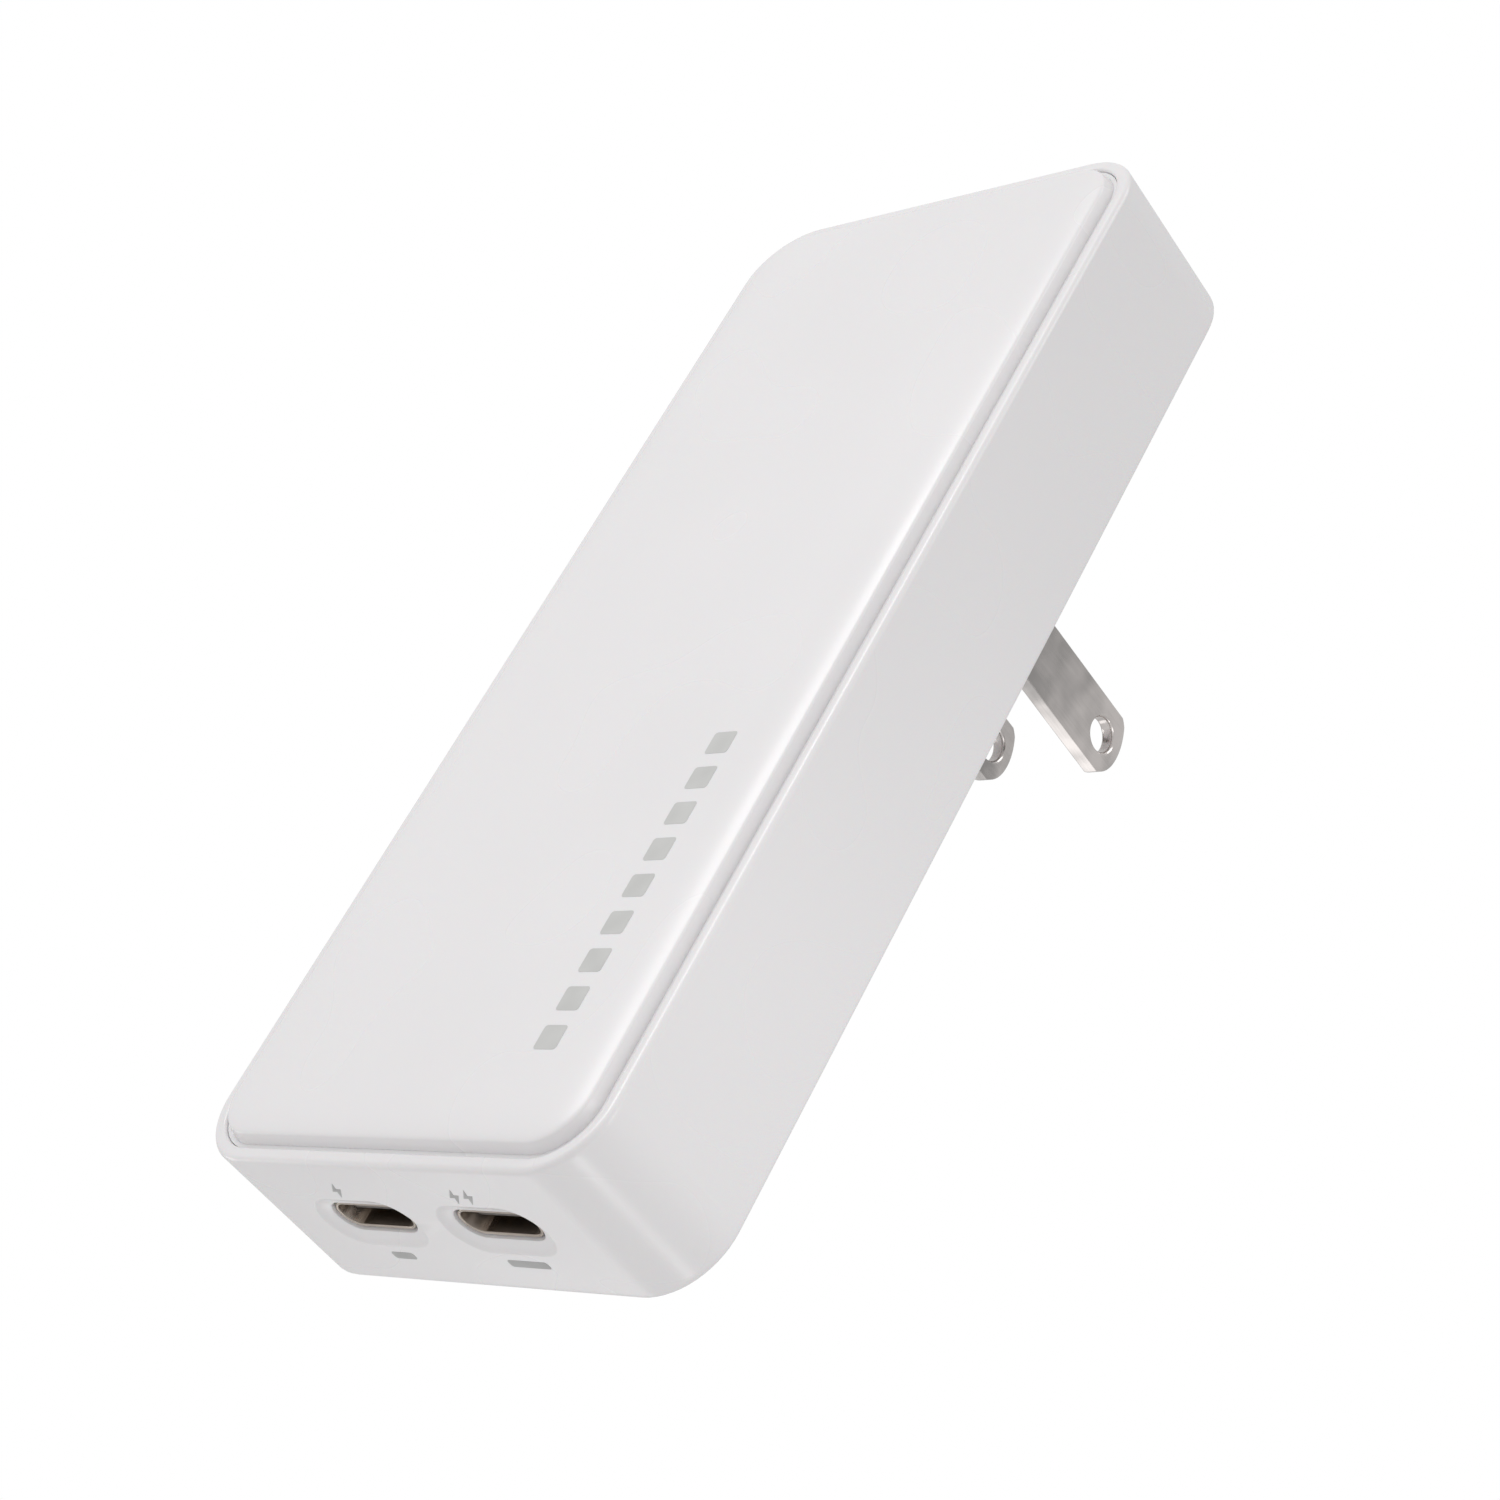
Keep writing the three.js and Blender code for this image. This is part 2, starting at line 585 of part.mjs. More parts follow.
piece("transformer_winding", winding, "#d8b23a", 0.45);

// chips on the component side, below the transformer and the wells
const CHIP_GAP = 3;
const chipZ = Math.min(coreLow - CHIP_GAP, wellEnd - 1.2);
const chipAt = (x, z, w, l, h) => onBoard(x - w / 2, x + w / 2, z - l, z, h);
piece("power_switch_chip", chipAt(leftX + 4.5, chipZ, 8, 8, 0.9), EPOXY, 0.4);
piece("rectifier_chip", chipAt(leftX + 13, chipZ, 5, 6, 1), EPOXY, 0.4);
piece("optocoupler", chipAt(leftX + 21, chipZ - 1, 4.6, 6.5, 2.2), "#e5e3dc", 0.5);
piece("control_chip", chipAt(leftX + 29, chipZ - 1, 5, 5, 0.9), EPOXY, 0.4);

// output chokes and polymer capacitors, next to the ports
const OUTPUT_ROW = 16; // from the top of the chips' row down to the output row
const chokeZ = chipZ - OUTPUT_ROW;
[0, 1].forEach((i) => {
  const x = leftX + 4.8 + i * 10.6;
  piece(`output_inductor_${i + 1}`, chipAt(x, chokeZ, 8.4, 6.6, 5), "#55565a", 0.65);
});
const CAP_R = 2.6;
const CAP_H = 7.2;
const CAP_START = 24;
const CAP_PITCH = 6;
[0, 1, 2].forEach((i) => {
  const can = turned(
    canProfile(CAP_R, -BOARD_TOP, -BOARD_TOP + CAP_H), "y",
    [leftX + CAP_START + i * CAP_PITCH, 0, chokeZ - 3.2],
  );
  piece(`output_capacitor_${i + 1}`, can, "#c8c8cc", 0.3, 1);
});

// ---------------------------------------------------------------- heat spreader stack behind the cover
// Soft pad on the board, aluminium plate on the pad, insulating sheet over the plate.

const PAD_T = 2.5;
const SPREADER_T = 1.2;
const SHEET_T = 0.25;
const stack = (inset, from, thickness) =>
  plate(
    roundedOutline(
      MID_X, (LOW + 19 + HIGH - 11) / 2, WIDTH - 14 - 2 * inset, LENGTH - 30 - 2 * inset, 2,
    ),
    from, from + thickness,
  );
piece("thermal_pad", stack(2, BOARD_BACK, PAD_T), "#8fa3b8", 0.8);
piece("heat_spreader", stack(1, BOARD_BACK + PAD_T, SPREADER_T), "#c4c6c8", 0.35, 1);
piece("insulating_sheet", stack(0, BOARD_BACK + PAD_T + SPREADER_T, SHEET_T), "#d9d3b4", 0.6);

export default group;
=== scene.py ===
import math

import bmesh
import bpy
from mathutils import Matrix, Vector


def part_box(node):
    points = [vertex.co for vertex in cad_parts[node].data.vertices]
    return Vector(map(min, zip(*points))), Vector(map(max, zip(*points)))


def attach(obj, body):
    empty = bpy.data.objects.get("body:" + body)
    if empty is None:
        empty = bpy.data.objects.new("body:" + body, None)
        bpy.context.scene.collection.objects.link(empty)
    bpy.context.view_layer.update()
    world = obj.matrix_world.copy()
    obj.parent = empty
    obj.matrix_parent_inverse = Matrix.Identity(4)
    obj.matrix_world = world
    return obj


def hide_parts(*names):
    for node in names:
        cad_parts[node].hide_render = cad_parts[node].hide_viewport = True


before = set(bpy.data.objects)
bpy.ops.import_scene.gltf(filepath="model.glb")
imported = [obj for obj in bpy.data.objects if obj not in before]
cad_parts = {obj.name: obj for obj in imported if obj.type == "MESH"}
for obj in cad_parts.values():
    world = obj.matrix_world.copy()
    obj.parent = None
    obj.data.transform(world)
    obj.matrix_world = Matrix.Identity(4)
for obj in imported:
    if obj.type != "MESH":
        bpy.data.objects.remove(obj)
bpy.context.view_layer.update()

MM = 0.001
scene = bpy.context.scene
case_low, case_high = (Vector(corner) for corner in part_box("base_shell"))
case_width, case_depth, case_length = case_high - case_low
case_middle = (case_low + case_high) / 2

# ---------------------------------------------------------------------------------------------
# View. The camera looks up at the port end from the right of the front cover, through a long
# lens, so the case leans across the frame with its blades showing behind it.
# ---------------------------------------------------------------------------------------------
CAMERA_FROM_CASE = Vector((192.24, -137.37, -144.36)) * MM
CAMERA_FORWARD = Vector((-0.69406, 0.50894, 0.50918)).normalized()
CAMERA_UP = Vector((0.06299, -0.66163, 0.74718))
camera_right = CAMERA_FORWARD.cross(CAMERA_UP).normalized()
turned = Matrix((camera_right, camera_right.cross(CAMERA_FORWARD), -CAMERA_FORWARD)).transposed()

lens = bpy.data.cameras.new("view")
lens.sensor_width = 36.0
lens.lens = 76.31
lens.clip_start = 0.01
lens.clip_end = 20.0
camera = bpy.data.objects.new("view", lens)
camera.matrix_world = Matrix.Translation(case_middle + CAMERA_FROM_CASE) @ turned.to_4x4()
scene.collection.objects.link(camera)
scene.camera = camera

# ---------------------------------------------------------------------------------------------
# Base shell. One injection moulding in white PC/ABS: back, four walls and rim, with the blade
# wells and finger scoop sunk in its back and a dished opening for each port in its lower end.
# ---------------------------------------------------------------------------------------------


def linear(hex_colour):
    """An sRGB hex colour as linear RGBA."""
    parts = [int(hex_colour[i:i + 2], 16) / 255 for i in (1, 3, 5)]
    return tuple(c / 12.92 if c <= 0.04045 else ((c + 0.055) / 1.055) ** 2.4 for c in parts) + (1.0,)


def add(tree, kind, links, **settings):
    """Adds a node. links maps an input's name or number to a socket or to a plain value."""
    node = tree.nodes.new(kind)
    for name, value in settings.items():
        setattr(node, name, value)
    for key, value in links.items():
        if isinstance(value, bpy.types.NodeSocket):
            tree.links.new(value, node.inputs[key])
        else:
            node.inputs[key].default_value = value
    return node


def bare_material(name, **surface):
    """A material with only its shader, and the Object coordinates; surface sets plain sockets."""
    material = bpy.data.materials.new(name)
    material.use_nodes = True
    tree = material.node_tree
    tree.nodes.clear()
    shader = add(tree, "ShaderNodeBsdfPrincipled",
                 {key.replace("_", " "): value for key, value in surface.items()})
    add(tree, "ShaderNodeOutputMaterial", {"Surface": shader.outputs[0]})
    return material, tree, shader, add(tree, "ShaderNodeTexCoord", {}).outputs["Object"]


def moulded(name, low_hex, high_hex, rough, cloud_mm, skin_mm, skin_deep_mm, **surface):
    """A moulded, cast or coated skin: clouded colour, uneven gloss and a fine raised grain."""
    material, tree, shader, place = bare_material(name, **surface)
    cloud = add(tree, "ShaderNodeTexNoise", {"Vector": place, "Scale": 1 / (cloud_mm * MM), "Detail": 0.0})
    share = add(tree, "ShaderNodeMapRange", {"Value": cloud.outputs["Fac"], "From Min": 0.2, "From Max": 0.8})
    colour = add(tree, "ShaderNodeMix", {0: share.outputs[0], 6: linear(low_hex), 7: linear(high_hex)},
                 data_type="RGBA")
    handled = add(tree, "ShaderNodeTexNoise", {"Vector": place, "Scale": 2 / (cloud_mm * MM), "Detail": 0.0})
    gloss = add(tree, "ShaderNodeMapRange", {"Value": handled.outputs["Fac"], "From Min": 0.1,
                                             "From Max": 0.9, "To Min": rough - 0.06, "To Max": rough + 0.06})
    skin = add(tree, "ShaderNodeTexNoise", {"Vector": place, "Scale": 1 / (skin_mm * MM), "Detail": 2.0})
    bump = add(tree, "ShaderNodeBump", {"Height": skin.outputs["Fac"], "Distance": skin_deep_mm * MM,
                                        "Strength": 0.6})
    tree.links.new(colour.outputs[2], shader.inputs["Base Color"])
    tree.links.new(gloss.outputs[0], shader.inputs["Roughness"])
    tree.links.new(bump.outputs[0], shader.inputs["Normal"])
    return material


def rounded_ring(centre, width, length, radius, steps=14):
    """Points of a rounded rectangle in X and Z, as (x, z)."""
    radius = max(radius, 0.05 * MM)
    points = []
    for corner, (side, end) in enumerate(((1, -1), (1, 1), (-1, 1), (-1, -1))):
        cx = centre[0] + side * (width / 2 - radius)
        cz = centre[1] + end * (length / 2 - radius)
        for i in range(steps + 1):
            a = math.radians(90 * (corner - 1 + i / steps))
            points.append((cx + radius * math.cos(a), cz + radius * math.sin(a)))
    return points


def racetrack(centre, width, height, steps=18):
    """Points of a racetrack in X and Y, as (x, y)."""
    r, reach = height / 2, (width - height) / 2
    return [(centre[0] + side * reach + r * math.cos(a), centre[1] + r * math.sin(a))
            for side in (1, -1)
            for a in (math.radians(180 * i / steps - 90 * side) for i in range(steps + 1))]


def loft(rings):
    """A closed bmesh through rings of equal counts of 3D points, with its two ends filled."""
    bm = bmesh.new()
    rows = [[bm.verts.new(p) for p in ring] for ring in rings]
    for a, b in zip(rows, rows[1:]):
        for i in range(len(a)):
            j = (i + 1) % len(a)
            bm.faces.new((a[i], a[j], b[j], b[i]))
    bm.faces.new(reversed(rows[0]))
    bm.faces.new(rows[-1])
    bmesh.ops.recalc_face_normals(bm, faces=bm.faces)
    return bm


def quarter(radius, steps=5):
    """(inset, depth) along a rounded edge, from its flat face to its wall."""
    return [(radius * (1 - math.sin(a)), radius * (1 - math.cos(a)))
            for a in (math.radians(90 * i / steps) for i in range(steps + 1))]


def piece(name, bm, material=None):
    """An object made of a bmesh, which it frees."""
    mesh = bpy.data.meshes.new(name)
    bm.to_mesh(mesh)
    bm.free()
    obj = bpy.data.objects.new(name, mesh)
    scene.collection.objects.link(obj)
    if material:
        mesh.materials.append(material)
    return obj


def smooth(obj, degrees, flat_area=15 * MM * MM):
    """Smooth shading: edges sharper than this stay crisp, and so do those of large flat faces."""
    obj.data.shade_smooth()
    bm = bmesh.new()
    bm.from_mesh(obj.data)
    for edge in bm.edges:
        turn = edge.calc_face_angle(0)
        wide = max((face.calc_area() for face in edge.link_faces), default=0) > flat_area
        edge.smooth = turn < math.radians(1 if wide else degrees)
    bm.to_mesh(obj.data)
    bm.free()


def evaluated_mesh(obj):
    """Applies an object's modifiers to its mesh, and clears them."""
    bpy.context.view_layer.update()
    made = bpy.data.meshes.new_from_object(obj.evaluated_get(bpy.context.evaluated_depsgraph_get()))
    obj.modifiers.clear()
    obj.data = made


def cut_away(obj, cutters, blocks=()):
    """Moulds the blocks onto obj, takes the cutters out of it, and removes them all."""
    for extra in blocks:
        obj.modifiers.new("join", "BOOLEAN").object = extra
        obj.modifiers[-1].operation = "UNION"
    for cutter in cutters:
        obj.modifiers.new("cut", "BOOLEAN").object = cutter
    evaluated_mesh(obj)
    for tool in (*blocks, *cutters):
        bpy.data.objects.remove(tool)


def settle(obj, body, slot, *nodes):
    """Puts a finished piece on its body, in place of the nodes it stands for; slot is not used."""
    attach(obj, body)
    if nodes:
        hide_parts(*nodes)


CORNER_R = 6.6 * MM
WALL = 1.9 * MM
BACK_WALL = 1.8 * MM
RIM = 1.3 * MM
SEAT = case_depth - 1.7 * MM
EDGE_R = 0.8 * MM
RIM_ROLL = 0.55 * MM
LIP_R = 0.22 * MM
HOLD = 0.3 * MM  # strip beside a rounded edge that keeps the flat face beside it flat


def case_ring(inset, depth):
    """A ring of the case's outline, drawn in by inset, at a depth behind the back face."""
    outline = rounded_ring((case_middle.x, case_middle.z), case_width - 2 * inset,
                           case_length - 2 * inset, CORNER_R - inset)
    return [(x, case_high.y - depth, z) for x, z in outline]


shell_rings = [case_ring(EDGE_R + HOLD, 0)] + [case_ring(i, d) for i, d in quarter(EDGE_R)]
shell_rings += [case_ring(0, EDGE_R + HOLD), case_ring(0, case_depth - RIM_ROLL - HOLD)]
shell_rings += [case_ring(i, case_depth - d) for i, d in reversed(quarter(RIM_ROLL, 8))]
shell_rings += [case_ring(RIM - LIP_R * (1 - math.sin(a)), case_depth - LIP_R * (1 - math.cos(a)))
                for a in (math.radians(22.5 * k) for k in range(5))]
shell_rings += [case_ring(RIM, SEAT), case_ring(WALL, SEAT), case_ring(WALL, BACK_WALL)]
shell = piece("base_shell_moulding", loft(shell_rings))

# a block behind the back face for the carrier's bearing, and a deeper one for the blade wells
CARRIER_HALF = 9.2 * MM
CARRIER_R = 2.9 * MM
RUN_GAP = 0.3 * MM
BEARING_DEPTH = 5 * MM
BEARING_HALF_HIGH = 7.5 * MM
WELL_BACK = 8.77 * MM
WELL_END = 1.2 * MM
BEARING_LAP = 0.2 * MM  # the two blocks run into each other by the difference of these laps
WELL_LAP = 0.1 * MM
POST_R = 2.2 * MM
POST_INSET = 6.5 * MM
BOARD_DEPTH = 10.08 * MM


def block(x_ends, depths, z_ends):
    """A block with slightly rounded corners, between two depths behind the back face."""
    middle = (sum(x_ends) / 2, sum(z_ends) / 2)
    outline = rounded_ring(middle, x_ends[1] - x_ends[0], z_ends[1] - z_ends[0], 0.1 * MM, 2)
    return piece("block", loft([[(x, case_high.y - d, z) for x, z in outline] for d in depths]))


# blade wells, a slot for each blade with a softened mouth, and a scoop for a fingertip across both
blade_boxes = {side: [Vector(c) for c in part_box(f"blade_{side}")] for side in ("left", "right")}
blade_x = {side: (low.x + high.x) / 2 for side, (low, high) in blade_boxes.items()}
blade_tip = blade_boxes["left"][1].y
BLADE_WIDTH = 6.35 * MM
PIVOT_DEPTH = 4.4 * MM
SLOT_WIDTH = 2.3 * MM
WELL_DEPTH = 7.87 * MM
MOUTH_R = 0.35 * MM
folded_tip = blade_tip + PIVOT_DEPTH
slot_ends = (-folded_tip - 0.5 * MM, BLADE_WIDTH / 2 + RUN_GAP)
block_ends = (-CARRIER_HALF - RUN_GAP - WALL, case_high.x - WALL + 0.4 * MM)
blocks = [
    block(block_ends, (BACK_WALL / 2, BEARING_DEPTH),
          (-BEARING_HALF_HIGH - BEARING_LAP, BEARING_HALF_HIGH + WALL)),
    block(block_ends, (BACK_WALL / 2, WELL_BACK),
          (slot_ends[0] - WELL_END, -BEARING_HALF_HIGH - WELL_LAP)),
]
for post_x, post_z in ((case_low.x + POST_INSET, case_high.z - POST_INSET),
                       (case_high.x - POST_INSET, case_low.z + 2 * POST_INSET)):
    blocks.append(piece("post", loft([
        [(post_x + POST_R * math.cos(t), case_high.y - d, post_z + POST_R * math.sin(t))
         for t in (2 * math.pi * k / 32 for k in range(32))] for d in (BACK_WALL / 2, BOARD_DEPTH)])))
cutters = []
for x in blade_x.values():
    slot_middle = (x, sum(slot_ends) / 2)
    slot_length = slot_ends[1] - slot_ends[0]
    mouth = [(MOUTH_R, -2 * MM)] + quarter(MOUTH_R) + [(0, WELL_DEPTH)]
    cutters.append(piece("well", loft([
        [(px, case_high.y - d, pz) for px, pz in rounded_ring(
            slot_middle, SLOT_WIDTH + 2 * spread, slot_length + 2 * spread, 0.3 * MM + spread, 6)]
        for spread, d in mouth])))

# room for the blade tails to swing up past the carrier, and the trough that the carrier turns in
TAIL_ROOM_DEEP = 1 * MM
TAIL_ROOM_TOP = 5 * MM
TROUGH_DEEP = 4 * MM
for x in blade_x.values():
    cutters.append(block((x - SLOT_WIDTH / 2, x + SLOT_WIDTH / 2), (BACK_WALL, WELL_BACK + TAIL_ROOM_DEEP),
                         (-BEARING_HALF_HIGH, TAIL_ROOM_TOP)))
trough_half, trough_r = CARRIER_HALF + RUN_GAP, CARRIER_R + RUN_GAP
cutters.append(piece("trough", loft([
    [(x, case_high.y - PIVOT_DEPTH + trough_r * math.cos(t), trough_r * math.sin(t))
     for t in (2 * math.pi * k / 64 for k in range(64))] for x in (-trough_half, trough_half)])))
cutters.append(block((-trough_half, trough_half), (PIVOT_DEPTH, PIVOT_DEPTH + TROUGH_DEEP),
                     (-trough_r, trough_r)))

SCOOP_R = 7 * MM
SCOOP_DEPTH = 3 * MM
SCOOP_END_R = 1.6 * MM
SCOOP_FROM_TIP = 5.4 * MM
SCOOP_PAST_SLOT = 2.2 * MM
scoop_y = case_high.y + SCOOP_R - SCOOP_DEPTH
scoop_z = SCOOP_FROM_TIP - folded_tip
scoop_half = (blade_x["right"] - blade_x["left"] + SLOT_WIDTH) / 2 + SCOOP_PAST_SLOT
ends = [(scoop_half - d, SCOOP_R - i) for i, d in reversed(quarter(SCOOP_END_R, 6))]
stations = [(-x, r) for x, r in reversed(ends)] + ends
cutters.append(piece("scoop", loft([
    [(x, scoop_y + r * math.cos(t), scoop_z + r * math.sin(t))
     for t in (2 * math.pi * k / 80 for k in range(80))] for x, r in stations])))

# port openings: a racetrack throat with a dished lead-in whose outer edge is rolled over
PORT_CLEAR = 0.2 * MM
DISH_WIDE = 1.05 * MM
DISH_DEEP = 0.5 * MM
DISH_ROLL = 0.25 * MM
port_boxes = {side: [Vector(c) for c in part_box(f"usb_c_shell_{side}")] for side in ("left", "right")}
for low, high in port_boxes.values():
    centre = ((low.x + high.x) / 2, (low.y + high.y) / 2)
    width, height = high.x - low.x + 2 * PORT_CLEAR, high.y - low.y + 2 * PORT_CLEAR
    dish = [(DISH_WIDE + DISH_ROLL, -1 * MM), (DISH_WIDE + DISH_ROLL, 0),
            (DISH_WIDE + DISH_ROLL * 0.45, 0.05 * MM), (DISH_WIDE, 0.14 * MM),
            (DISH_WIDE * 0.62, 0.32 * MM), (DISH_WIDE * 0.3, 0.45 * MM), (0.12 * MM, DISH_DEEP),
            (0.03 * MM, DISH_DEEP + 0.05 * MM), (0, DISH_DEEP + 0.15 * MM), (0, 4 * MM)]
    cutters.append(piece("port", loft([
        [(x, y, case_low.z + d) for x, y in racetrack(centre, width + 2 * spread, height + 2 * spread)]
        for spread, d in dish])))
cut_away(shell, cutters, blocks)
smooth(shell, 32)

# PC/ABS from a sparked tool: reads as an even, faintly warm white with a satin sheen. The spark
# grain is about 0.05 mm, drawn at 0.6 mm to show; slow flow lines cloud it over 24 mm.
white_case = moulded("PC ABS moulding, satin white", "#EBE9EA", "#EDEBEC", 0.28, 24, 0.6, 0.003,
                     IOR=1.55, Subsurface_Weight=0.06, Subsurface_Scale=0.001)
shell.data.materials.clear()
shell.data.materials.append(white_case)
settle(shell, "case", "case_plastic", "base_shell")

# ---------------------------------------------------------------------------------------------
# Front cover. A crowned plate of the same PC/ABS, glued in the rim: its flange makes the floor of
# the shallow groove, and its edge rolls up softly to a face that rises slightly to the middle.
# ---------------------------------------------------------------------------------------------
GROOVE_WIDE = 0.46 * MM
GROOVE_DEEP = 0.3 * MM
WALL_RISE = 0.6 * MM
WALL_LEAN = 0.34 * MM
SOFT_WIDE = 4.6 * MM
FACE_CROWN = 0.1 * MM
COVER_SKIN = 1.5 * MM
RIB_INSET = WALL + 0.25 * MM
RIB_T = 0.9 * MM
RIB_TALL = 0.7 * MM
SEAT_GAP = 0.06 * MM
cover_rise = case_low.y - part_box("front_cover")[0][1]
edge_inset = RIM + GROOVE_WIDE
edge_rise = cover_rise - FACE_CROWN
EDGE_STEPS = 16
CROWN_STEPS = 9
FLAT_HALF = 3 * MM  # half width of the flat strip along the crown's top
EDGE_FULLNESS = 0.78  # 1 would make the roll from wall to face a plain ellipse
wall_top = edge_inset + WALL_LEAN
cover_edge = [(edge_inset, case_depth - GROOVE_DEEP + HOLD * 0.3)]
cover_edge += [(wall_top + SOFT_WIDE * (1 - math.cos(a) ** EDGE_FULLNESS),
                case_depth + WALL_RISE + (edge_rise - WALL_RISE) * math.sin(a) ** EDGE_FULLNESS)
               for a in (math.radians(90 * i / EDGE_STEPS) for i in range(EDGE_STEPS))]
face_inset = wall_top + SOFT_WIDE
cover_edge.append((face_inset, case_depth + edge_rise))
last_inset = case_width / 2 - FLAT_HALF


def face_depth(inset):
    """Depth of the cover's face behind the back face, this far in from the case's outline."""
    t = min(1.0, max(0.0, (inset - face_inset) / (last_inset - face_inset)))
    return case_depth + edge_rise + FACE_CROWN * (1 - (1 - t) ** 2)


under_cover = [case_ring(RIB_INSET + RIB_T, case_depth + cover_rise - COVER_SKIN),
               case_ring(RIB_INSET + RIB_T, SEAT - RIB_TALL), case_ring(RIB_INSET, SEAT - RIB_TALL),
               case_ring(RIB_INSET, SEAT), case_ring(RIM + SEAT_GAP, SEAT)]
groove_floor = [case_ring(RIM + SEAT_GAP, case_depth - GROOVE_DEEP),
                case_ring(edge_inset, case_depth - GROOVE_DEEP)]
insets = [face_inset + (last_inset - face_inset) * k / CROWN_STEPS for k in range(1, CROWN_STEPS + 1)]
cover = piece("front_cover_moulding", loft(
    under_cover + groove_floor + [case_ring(i, d) for i, d in cover_edge]
    + [case_ring(i, face_depth(i)) for i in insets]))
smooth(cover, 40, 1000 * MM * MM)

# The cover's tool is finer than the case's, so it reads a touch glossier and whiter.
white_cover = moulded("PC ABS moulding, fine satin white", "#ECEAEB", "#EEECED", 0.26, 30, 0.55, 0.002,
                      IOR=1.55, Subsurface_Weight=0.06, Subsurface_Scale=0.001)
cover.data.materials.append(white_cover)
settle(cover, "case", "cover_plastic", "front_cover")

# ---------------------------------------------------------------------------------------------
# Printed marks. Pad-printed pale grey ink, 0.02 mm proud: a plain row of bars up the right of the
# cover, and charge bolts on one side of each port with a short or long bar on the other.
# ---------------------------------------------------------------------------------------------
INK = 0.02 * MM


def inked(outlines, rise):
    """Thin closed plates for outlines of 3D points, standing INK above and below along rise."""
    bm = bmesh.new()
    for outline in outlines:
        top = [bm.verts.new(Vector(p) + rise * INK) for p in outline]
        low = [bm.verts.new(Vector(p) - rise * INK) for p in outline]
        bm.faces.new(top)
        bm.faces.new(reversed(low))
        for i in range(len(top)):
            j = (i + 1) % len(top)
            bm.faces.new((top[i], low[i], low[j], top[j]))
    bmesh.ops.recalc_face_normals(bm, faces=bm.faces)
    return bm


BAR_INSET = 9.7 * MM
BAR_WIDE = 2.5 * MM
BAR_LONG = 2.3 * MM
BAR_PITCH = 3.72 * MM
BAR_COUNT = 9
BARS_FROM_END = 10.4 * MM
bars = []
for k in range(BAR_COUNT):
    middle = (case_high.x - BAR_INSET, case_low.z + BARS_FROM_END + k * BAR_PITCH + BAR_LONG / 2)
    bars.append([(x, case_high.y - face_depth(case_high.x - x), z)
                 for x, z in rounded_ring(middle, BAR_WIDE, BAR_LONG, 0.3 * MM, 5)])

# Pad-print ink: reads as soft grey with the moulding's grain just breaking through it.
cover_ink = moulded("pad print ink, pale grey", "#C2C2C0", "#CACAC8", 0.42, 2, 0.25, 0.004, IOR=1.5)
settle(piece("cover_bars", inked(bars, Vector((0, -1, 0))), cover_ink), "case", "cover_plastic")

MARK_FROM_PORT = 4.4 * MM
BOLT_TALL = 1.9 * MM
BOLT_PITCH = 1.6 * MM
BOLT = ((0.16, 0.5), (-0.34, -0.08), (-0.05, -0.08), (-0.16, -0.5), (0.34, 0.1), (0.05, 0.1))
end_marks = []
for count, (low, high) in zip((1, 2), port_boxes.values()):
    x, y = (low.x + high.x) / 2, (low.y + high.y) / 2
    for k in range(count):
        bolt_x = x + (k - (count - 1) / 2) * BOLT_PITCH
        end_marks.append([(bolt_x + u * BOLT_TALL, y - MARK_FROM_PORT - v * BOLT_TALL, case_low.z)
                          for u, v in BOLT])
    end_marks.append([(px, py, case_low.z) for px, py in rounded_ring(
        (x, y + MARK_FROM_PORT), (0.8 + 1.9 * count) * MM, 0.9 * MM, 0.3 * MM, 4)])
end_ink = moulded("pad print ink, grey", "#A6A6A5", "#AFAFAE", 0.42, 2, 0.25, 0.004, IOR=1.5)
settle(piece("port_marks", inked(end_marks, Vector((0, 0, -1))), end_ink), "case", "case_plastic")

# ---------------------------------------------------------------------------------------------
# Blades. Stamped brass strip, linished and nickel plated, with rolled edges, a coined hole and
# the nose pressed thinner. Each is set in the carrier by its neck and tail.
# ---------------------------------------------------------------------------------------------
BLADE_T = 1.5 * MM
NECK_WIDTH = 3.4 * MM
NECK_END = 3.15 * MM
TAIL_R = 4.0 * MM
TIP_SAG = 1.75 * MM
HOLE_R = 1.6 * MM
HOLE_FROM_TIP = 3.1 * MM
HOLE_ROLL = 0.36 * MM
BLADE_EDGE_R = 0.12 * MM
COIN_LONG = 1.1 * MM
COIN_DEEP = 0.3 * MM


def blade_outline(inset):
    """Blade outline as (y, z), drawn in by inset: tail, neck, shoulders and rounded nose."""
    half, neck = BLADE_WIDTH / 2, NECK_WIDTH / 2
    nose_r = (half * half + TIP_SAG * TIP_SAG) / (2 * TIP_SAG)
    shoulder = NECK_END - PIVOT_DEPTH + inset
    tail_turn = math.asin((neck - inset) / (TAIL_R - inset))
    nose_turn = math.asin((half - inset) / (nose_r - inset))
    tail = [(-PIVOT_DEPTH - (TAIL_R - inset) * math.cos(a), -(TAIL_R - inset) * math.sin(a))
            for a in (tail_turn * (i / 4 - 1) for i in range(9))]
    nose = [(blade_tip - nose_r + (nose_r - inset) * math.cos(a), (nose_r - inset) * math.sin(a))
            for a in (nose_turn * (i / 16 - 1) for i in range(33))]
    return (tail + [(shoulder, inset - neck), (shoulder, inset - half)] + nose
            + [(shoulder, half - inset), (shoulder, neck - inset)])


